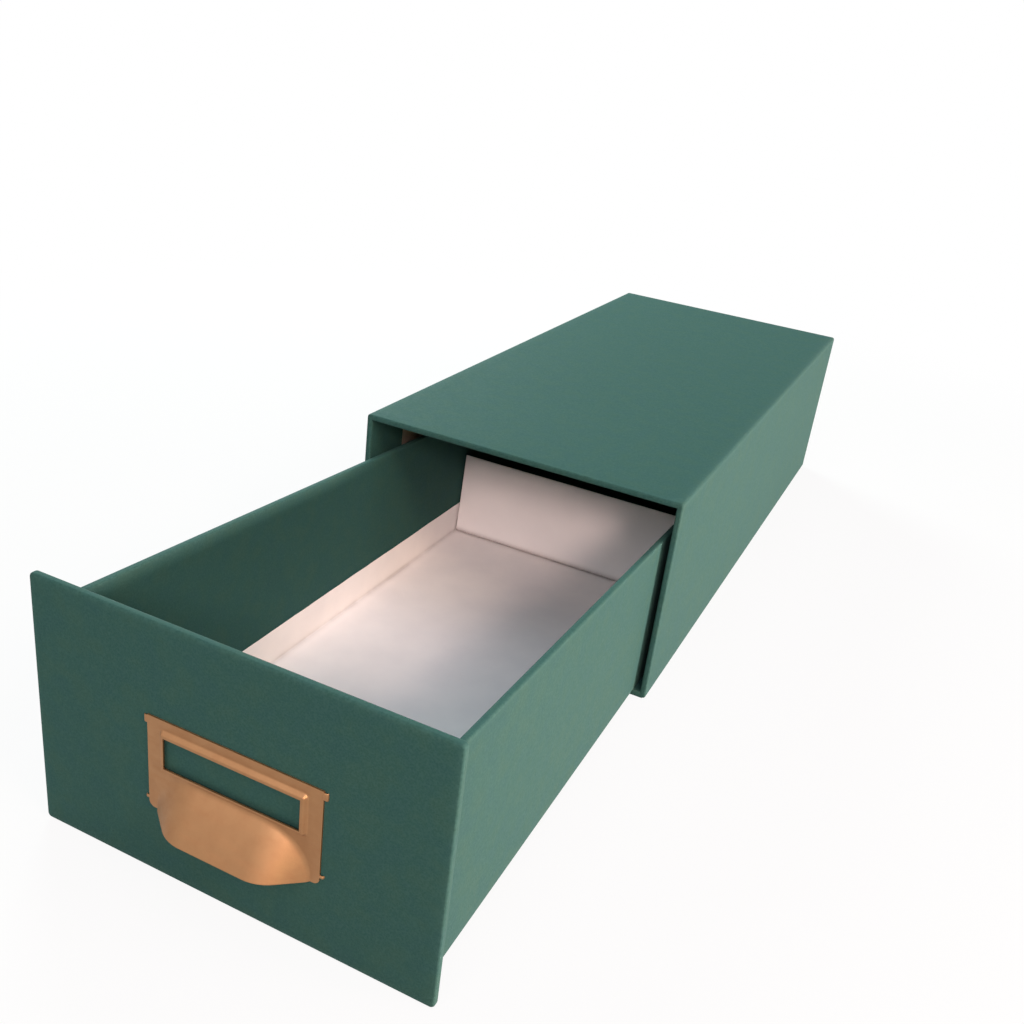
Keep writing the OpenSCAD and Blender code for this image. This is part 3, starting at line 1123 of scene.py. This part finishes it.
@dataclass
class LabelPull:
    """The stamped pull: a label frame above, a finger cup below and prongs through the panel."""

    finishes: Finishes
    width: float = 61.8
    height: float = 33.4
    gauge: float = 0.6
    window_w: float = 48.3
    window_h: float = 11.0
    window_top: float = 5.2
    rim_w: float = 2.2
    rim_low: float = 2.1
    rim_rise: float = 1.2
    rim_slope: float = 1.5
    rim_radius: float = 1.6
    cup_depth: float = 10.4
    cup_h: float = 14.9
    # From above: a straight lip and slanted ends that would meet at cup_flat, with a round turn there.
    cup_half_w: float = 27.9
    cup_flat: float = 16.3
    cup_turn: float = 14.0
    # The steep start of the slanted ends, as a rise and a width.
    cup_lift: float = 0.9
    cup_lift_w: float = 0.4
    # From the front: the cup's upper edge is level as far as cup_bow, and beyond it a full corner.
    cup_bow: float = 10.0
    cup_bow_power: float = 2.4
    # From the side: the share of a straight slope in the turned form.
    cup_ramp: float = 0.75
    # Where the cup meets the plate.
    cup_fillet: float = 0.8
    cup_edge_fall: float = 1.0
    least_top: float = 0.1
    most_level: float = 2.0
    foot_radius: float = 2.2
    ear_out: float = 1.4
    ear_h: float = 2.6
    low_ear_h: float = 1.0
    ear_low: float = 2.6
    ear_drop: float = 0.4
    ear_proud: float = 0.02
    clinch: float = 4.0
    clinch_radius: float = 0.15
    bend_radius: float = 0.7
    edge_bevel: float = 0.28
    bevel_steps: int = 3
    bevel_angle: float = 60.0
    sharp_angle: float = 50.0
    # Stretches of the plate with finer steps, and the longest step in each stretch.
    cup_end: float = 5.0
    past_cup: float = 0.6
    cup_head: float = 4.0
    steps_across: tuple[float, ...] = (0.5, 0.2, 0.15, 0.3)
    steps_up: tuple[float, ...] = (0.4, 0.15, 0.5, 0.2)
    prong_step: float = 1.0
    middle: float = field(init=False)
    foot: float = field(init=False)
    face: float = field(init=False)
    prong: float = field(init=False)
    axis_back: float = field(init=False)
    slant: float = field(init=False)
    window_z: float = field(init=False)

    def __post_init__(self) -> None:
        """Takes the pull's place from the frame, and works out how the cup is turned."""
        low, high = corners("label_pull")
        panel_low, _ = corners("front_panel_cover")
        _, board_high = corners("front_panel_board")
        self.middle = (low.x + high.x) / 2
        self.foot = low.z
        self.face = panel_low.y
        self.prong = board_high.y - panel_low.y
        self.axis_back = (self.cup_h ** 2 - self.cup_depth ** 2) / (2 * self.cup_depth)
        self.slant = math.atan2(self.cup_depth - self.cup_lift, self.cup_half_w - self.cup_flat)
        self.window_z = self.height - self.window_top - self.window_h

    def lip(self, x: np.ndarray) -> np.ndarray:
        """Reach of the cup's lip: a straight middle, round turns and slanted ends that start steeply.

        Args:
            x: Places across the pull.

        Returns:
            The reach, below 0 beyond the cup's ends.
        """
        turn_x = self.cup_flat - self.cup_turn * math.tan(self.slant / 2)
        past = np.maximum(np.abs(x) - turn_x, 0)
        turn = self.cup_depth - self.cup_turn + np.sqrt(np.clip(self.cup_turn ** 2 - past ** 2, 0, None))
        inward = self.cup_half_w - np.abs(x)
        end = inward * math.tan(self.slant) + self.cup_lift * np.tanh(inward / self.cup_lift_w)
        return np.where(past < self.cup_turn * math.sin(self.slant), turn, end)

    def cup(self, x: np.ndarray, z: np.ndarray) -> np.ndarray:
        """Height of the finger cup above the panel's face.

        Args:
            x: Places across the pull.
            z: Places above its lip.

        Returns:
            The cup's heights, below 0 where there is no cup.
        """
        reach = self.lip(x)
        bow = np.clip((np.abs(x) - self.cup_bow) / (self.cup_half_w - self.cup_bow), 0, 1)
        top = self.cup_h * (1 - bow ** self.cup_bow_power) ** (1 / self.cup_bow_power)
        level = self.cup_h * np.minimum(z / np.maximum(top, self.least_top), self.most_level)
        radius = self.cup_depth + self.axis_back
        turned = (np.sqrt(np.clip(radius ** 2 - level ** 2, 0, None)) - self.axis_back) / self.cup_depth
        profile = turned + self.cup_ramp * (1 - level / self.cup_h - turned)
        return np.where(reach > 0, reach * profile, reach) - self.cup_edge_fall * np.maximum(z - top, 0)

    def rim(self, x: np.ndarray, z: np.ndarray) -> np.ndarray:
        """Height of the raised rim round the window above the plate.

        Args:
            x: Places across the pull.
            z: Places above its lip.

        Returns:
            The rim's heights.
        """
        half_w = self.window_w / 2 + self.rim_w - self.rim_radius
        half_h = (self.window_h + self.rim_w + self.rim_low) / 2 - self.rim_radius
        past_x = np.abs(x) - half_w
        past_z = np.abs(z - self.window_z + self.rim_low - self.rim_radius - half_h) - half_h
        beyond = np.hypot(np.maximum(past_x, 0), np.maximum(past_z, 0))
        outside = beyond + np.minimum(np.maximum(past_x, past_z), 0)
        share = np.clip((self.rim_radius - outside) / self.rim_slope, 0, 1)
        return self.rim_rise * share * share * (3 - 2 * share)

    def front(self, x: np.ndarray, z: np.ndarray) -> np.ndarray:
        """Height of the stamping's outer face above the panel's face.

        Args:
            x: Places across the pull.
            z: Places above its lip.

        Returns:
            The heights.
        """
        plate = self.gauge + self.rim(x, z)
        cup = self.cup(x, z)
        near = np.clip(1 - np.abs(plate - cup) / self.cup_fillet, 0, 1)
        return np.maximum(plate, cup) + near * near * self.cup_fillet / 4

    def stamping(self) -> bpy.types.Object:
        """Makes the stamped plate with its rim, window and cup.

        Returns:
            The plate.
        """
        window_x, window_head = self.window_w / 2, self.window_z + self.window_h
        cup_x = self.cup_half_w
        marks_across = [0, cup_x - self.cup_end, window_x, cup_x + self.past_cup, self.width / 2]
        marks_up = [0, self.cup_h - self.cup_head, self.window_z, window_head, self.height]
        xs = stepped(marks_across, self.steps_across)
        xs = np.concatenate([-xs[:0:-1], xs])
        zs = stepped(marks_up, self.steps_up)
        x, z = np.meshgrid(xs, zs)
        rise = self.front(x, z)
        x, z = self.rounded_feet(x, z)
        points = np.stack([x + self.middle, self.face - rise, z + self.foot], -1)

        def window(row: int, column: int) -> bool:
            """Whether a face lies in the label window."""
            inside_x = abs(xs[column] + xs[column + 1]) < 2 * window_x
            return bool(inside_x and 2 * self.window_z < zs[row] + zs[row + 1] < 2 * window_head)

        no_folds = np.zeros(x.shape)
        return piece_from_grid("label_pull_stamping", points, no_folds, self.gauge, leave_out=window)

    def rounded_feet(self, x: np.ndarray, z: np.ndarray) -> tuple[np.ndarray, np.ndarray]:
        """Rounds the lower outer corners of the plate.

        Args:
            x: Places across the pull.
            z: Places above its lip.

        Returns:
            The moved places.
        """
        r = self.foot_radius
        right = np.clip((np.abs(x) - self.width / 2 + r) / r, 0, 1)
        down = np.clip((r - z) / r, 0, 1)
        inside = (right > 0) & (down > 0)
        new_x = np.sign(x) * (self.width / 2 - r + r * right * np.sqrt(1 - down ** 2 / 2))
        new_z = r - r * down * np.sqrt(1 - right ** 2 / 2)
        return np.where(inside, new_x, x), np.where(inside, new_z, z)

    def prong_strip(self, side: int, z: float, tall: float) -> bpy.types.Object:
        """Makes one ear, bent back through the panel and clinched behind its board.

        Args:
            side: 1 on the right and -1 on the left.
            z: Height of its lower edge above the lip.
            tall: Its own height.

        Returns:
            The strip.
        """
        reach = self.width / 2 + self.ear_out
        front = -self.gauge - self.ear_proud
        start = self.width / 2 - self.bend_radius
        line = rounded_line(
            [(start, front), (reach, front), (reach, self.prong - self.gauge),
             (reach + self.clinch, self.prong - self.gauge)],
            [self.bend_radius, self.clinch_radius], self.prong_step)
        heights = np.array([z, z + tall / 2, z + tall])
        points = np.array([[(self.middle + side * a, self.face + b, self.foot + h) for h in heights]
                           for a, b, _ in line])
        return piece_from_grid("prong", points, np.zeros(points.shape[:2]), self.gauge, flip=side > 0)

    def build(self) -> list[bpy.types.Object]:
        """Makes the stamping with its four prongs as one piece.

        Returns:
            The pull.
        """
        plate = self.stamping()
        ears = [(self.ear_low, self.low_ear_h), (self.height - self.ear_drop - self.ear_h, self.ear_h)]
        strips = [self.prong_strip(side, z, tall) for side in (-1, 1) for z, tall in ears]
        for part in [plate, *strips]:
            bevel = part.modifiers.new("edges", "BEVEL")
            bevel.width = self.edge_bevel * MM
            bevel.segments = self.bevel_steps
            bevel.limit_method = "ANGLE"
            bevel.angle_limit = math.radians(self.bevel_angle)
            settle(part, self.sharp_angle)
        merged = join(plate, strips)
        return [hand_over(merged, Body.DRAWER, Slot.COPPERED_STEEL, self.finishes, "label_pull")]


def stepped(marks: Sequence[float], steps: Sequence[float]) -> np.ndarray:
    """Values through a row of marks, with its own step between each two.

    Args:
        marks: The marks.
        steps: Longest step in each stretch.

    Returns:
        The values.
    """
    values = [np.linspace(a, b, max(1, math.ceil((b - a) / s)), endpoint=False)
              for a, b, s in zip(marks, marks[1:], steps)]
    return np.concatenate([*values, [marks[-1]]])


def join(main_piece: bpy.types.Object, others: Sequence[bpy.types.Object]) -> bpy.types.Object:
    """Makes several pieces one.

    Args:
        main_piece: The piece that stays.
        others: The pieces that are added to it.

    Returns:
        The piece that stays.
    """
    grid = bmesh.new()
    for part in [main_piece, *others]:
        grid.from_mesh(part.data)
    grid.to_mesh(main_piece.data)
    grid.free()
    for part in others:
        old = part.data
        bpy.data.objects.remove(part)
        bpy.data.meshes.remove(old)
    return main_piece


@dataclass
class CardStop:
    """The folded card that stands across the drawer behind the cards."""

    finishes: Finishes
    card: float = 0.7
    lean: float = 3.0
    lap: float = 12.0
    seam: float = 0.6
    step: float = 4.0
    foot_clear: float = 1.0
    wave: float = 30.0
    wave_depth: float = 0.2
    wave_seed: float = 4.4
    low: Vector = field(init=False)
    high: Vector = field(init=False)

    def __post_init__(self) -> None:
        """Takes the stop's place from the frame."""
        self.low, self.high = corners("card_stop")

    def outer_corner(self, before: np.ndarray, here: np.ndarray, after: np.ndarray) -> np.ndarray:
        """Corner of the card's outer face beside a corner of its middle line.

        Args:
            before: The corner before it.
            here: The corner.
            after: The corner after it.

        Returns:
            The outer corner.
        """
        ways = [(b - a) / np.linalg.norm(b - a) for a, b in ((before, here), (here, after))]
        normals = [np.array((way[1], -way[0])) for way in ways]
        return here + (normals[0] + normals[1]) * self.card / 2 / (1 + normals[0] @ normals[1])

    def tube(self) -> bpy.types.Object:
        """Makes the three-sided tube, whose ends meet underneath.

        Returns:
            The tube.
        """
        low, high, half = self.low, self.high, self.card / 2
        rear_foot = np.array((high.y - half, low.z + half))
        ridge = np.array((low.y + self.lean + half, high.z - half))
        front_foot = np.array((low.y + half, low.z + half))
        folds = [rear_foot, ridge, front_foot]
        outer = [self.outer_corner(folds[k - 1], folds[k], folds[(k + 1) % 3]) for k in range(3)]
        line = rounded_line(
            [(low.y + self.lap, low.z), *outer, (low.y + self.lap - self.seam, low.z)],
            [half] * 3, self.step)
        across = np.linspace(low.x, high.x, 2 * round(high.x / self.step) + 1)
        points = np.array([[(x, y, z) for x in across] for y, z, _ in line])
        # Only the front foot's fold is marked; the card's finish paints a shadow along it.
        at_front = (line[:, 0] < low.y + self.card) & (line[:, 1] < low.z + 2 * self.card)
        fold = np.repeat((line[:, 2] * at_front)[:, None], len(across), axis=1)
        above_foot = line[:, 1:2] > low.z + self.foot_clear
        points[..., 1] += above_foot * ripple(points, self.wave, self.wave_depth, self.wave_seed)
        piece = piece_from_grid("card_stop_tube", points, fold, self.card, flip=True)
        return hand_over(settle(piece), Body.STOP, Slot.WHITE_CARD, self.finishes, "card_stop")

    def build(self) -> list[bpy.types.Object]:
        """Makes the stop.

        Returns:
            The stop.
        """
        return [self.tube()]


@dataclass(frozen=True)
class Viewpoint:
    """The photograph's camera, in millimetres and degrees."""

    eye: Point = (158.3, -550.2, 254.1)
    target: Point = (-15.54, -129.62, 46.99)
    roll: float = 7.43
    lens: float = 37.44
    sensor: float = 36.0
    nearest: float = 10.0

    def build(self) -> bpy.types.Object:
        """Makes the camera and hands it to the scene.

        Returns:
            The camera.
        """
        data = bpy.data.cameras.new("viewpoint")
        data.lens = self.lens
        data.sensor_width = self.sensor
        data.clip_start = self.nearest * MM
        camera = placed("viewpoint", data)
        ahead = (Vector(self.target) - Vector(self.eye)).normalized()
        turn = ahead.to_track_quat("-Z", "Y") @ Quaternion((0, 0, 1), math.radians(self.roll))
        camera.matrix_world = Matrix.Translation(Vector(self.eye) * MM) @ turn.to_matrix().to_4x4()
        bpy.context.scene.camera = camera
        return camera


@dataclass(frozen=True)
class Lamp:
    """A soft box: its place in metres, width, power and colour, its height as a share, and its aim."""

    name: str
    place: Point
    size: float
    power: float
    colour: Colour
    flat: float = 1.0
    aim: Point = (0.0, -0.15, 0.04)

    def build(self) -> bpy.types.Object:
        """Makes the lamp.

        Returns:
            The lamp.
        """
        data = bpy.data.lights.new(self.name, "AREA")
        data.shape = "RECTANGLE"
        data.size = self.size
        data.size_y = self.size * self.flat
        data.energy = self.power
        data.color = self.colour
        lamp = placed(self.name, data)
        lamp.location = self.place
        lamp.rotation_mode = "QUATERNION"
        lamp.rotation_quaternion = (Vector(self.aim) - Vector(self.place)).to_track_quat("-Z", "Y")
        return lamp


@dataclass
class Studio:
    """A pale floor, a white surround and soft lamps, in metres."""

    floor_half: float = 6.0
    floor_cells: int = 8
    floor_colour: Colour = (0.62, 0.62, 0.62)
    shadow_share: float = 0.10
    shadow_near: float = 0.30
    shadow_far: float = 0.65
    surround: Colour = (0.92, 0.96, 1.0)
    surround_strength: float = 0.02
    white: Colour = (1.0, 1.0, 1.0)
    lamps: list[Lamp] = field(default_factory=lambda: [
        Lamp("top_lamp", (0.1, -0.5, 1.3), 0.8, 2.5, (0.68, 0.85, 1.0)),
        Lamp("rear_top_lamp", (0.1, 0.3, 1.3), 0.9, 2.7, (0.7, 0.88, 1.0)),
        Lamp("rear_lamp", (-0.9, 0.7, 0.7), 0.6, 23.1, (0.77, 1.0, 0.94)),
        Lamp("side_lamp", (1.1, -0.65, 0.85), 0.4, 10.5, (1.0, 0.74, 0.59)),
        Lamp("steep_lamp", (0.9, -0.15, 1.1), 0.5, 4.1, (1.0, 0.86, 0.88)),
        Lamp("low_lamp", (1.4, 0.0, 0.07), 0.3, 45.0, (1.0, 0.67, 0.62), 0.35),
        Lamp("warm_lamp", (0.78, -1.386, 0.81), 0.25, 11.6, (1.0, 0.74, 0.69)),
        Lamp("glint_lamp", (0.896, -1.353, 0.185), 0.2, 1.5, (1.0, 0.85, 0.5)),
        Lamp("front_lamp", (0.1, -1.5, 1.2), 0.9, 9.2, (0.98, 0.93, 1.0)),
    ])

    def plain_view(self, wiring: Wiring) -> bpy.types.NodeSocket:
        """Picks out the rays that come from the camera, from gloss or through glass.

        Args:
            wiring: The node tree that needs them.

        Returns:
            1 for such a ray and 0 for the rest.
        """
        path = wiring.node("ShaderNodeLightPath")
        value = path.outputs["Is Camera Ray"]
        for name in ("Is Glossy Ray", "Is Transmission Ray"):
            value = wiring.math("MAXIMUM", value, path.outputs[name])
        return value

    def floor_finish(self) -> bpy.types.Material:
        """Builds the floor's material, white in view but for the object's shadow.

        Returns:
            The material.
        """
        material = bpy.data.materials.new("floor")
        material.use_nodes = True
        wiring = Wiring(material.node_tree)
        wiring.tree.nodes.clear()
        matt = wiring.node("ShaderNodeBsdfDiffuse")
        wiring.feed(matt.inputs["Color"], self.floor_colour)
        white = wiring.node("ShaderNodeEmission")
        wiring.feed(white.inputs["Color"], self.white)
        away = wiring.node("ShaderNodeVectorMath", operation="LENGTH")
        wiring.feed(away.inputs[0], wiring.node("ShaderNodeTexCoord").outputs["Object"])
        share = wiring.node("ShaderNodeMapRange", interpolation_type="SMOOTHSTEP")
        wiring.feed(share.inputs["Value"], away.outputs["Value"])
        wiring.feed(share.inputs["From Min"], self.shadow_near)
        wiring.feed(share.inputs["From Max"], self.shadow_far)
        wiring.feed(share.inputs["To Min"], 1 - self.shadow_share)
        seen = wiring.math("MULTIPLY", self.plain_view(wiring), share.outputs["Result"])
        wiring.show("ShaderNodeOutputMaterial", seen, matt.outputs["BSDF"], white.outputs["Emission"])
        return material

    def floor(self) -> bpy.types.Object:
        """Makes the floor.

        Returns:
            The floor.
        """
        grid = bmesh.new()
        bmesh.ops.create_grid(grid, x_segments=self.floor_cells, y_segments=self.floor_cells,
                              size=self.floor_half)
        mesh = bpy.data.meshes.new("floor")
        grid.to_mesh(mesh)
        grid.free()
        piece = placed("floor", mesh)
        mesh.materials.append(self.floor_finish())
        return piece

    def sky(self) -> bpy.types.World:
        """Makes the surround: white in view, and soft cool light on the object.

        Returns:
            The world.
        """
        world = bpy.data.worlds.new("surround")
        world.use_nodes = True
        wiring = Wiring(world.node_tree)
        wiring.tree.nodes.clear()
        soft = wiring.node("ShaderNodeBackground")
        wiring.feed(soft.inputs["Color"], self.surround)
        wiring.feed(soft.inputs["Strength"], self.surround_strength)
        white = wiring.node("ShaderNodeBackground")
        wiring.feed(white.inputs["Color"], self.white)
        wiring.show("ShaderNodeOutputWorld", self.plain_view(wiring), soft.outputs["Background"],
                    white.outputs["Background"])
        bpy.context.scene.world = world
        return world

    def build(self) -> None:
        """Makes the floor, the surround, the lamps and the camera."""
        self.floor()
        self.sky()
        for lamp in self.lamps:
            lamp.build()
        Viewpoint().build()
        bpy.context.scene.view_settings.view_transform = "Standard"


def write_sizes() -> None:
    """Brings the places of all pieces up to date."""
    bpy.context.view_layer.update()


def main() -> None:
    """Builds the box piece by piece, then the studio round it."""
    logging.basicConfig(level=logging.INFO, format="%(message)s")
    finishes = Finishes()
    assemblies = [kind(finishes) for kind in (Slipcase, DrawerTray, FrontPanel, LabelPull, CardStop)]
    for assembly in assemblies:
        for piece in assembly.build():
            LOG.info("%s: %s, %d faces", type(assembly).__name__, piece.name, len(piece.data.polygons))
    Studio().build()
    write_sizes()


if __name__ == "__main__":
    main()
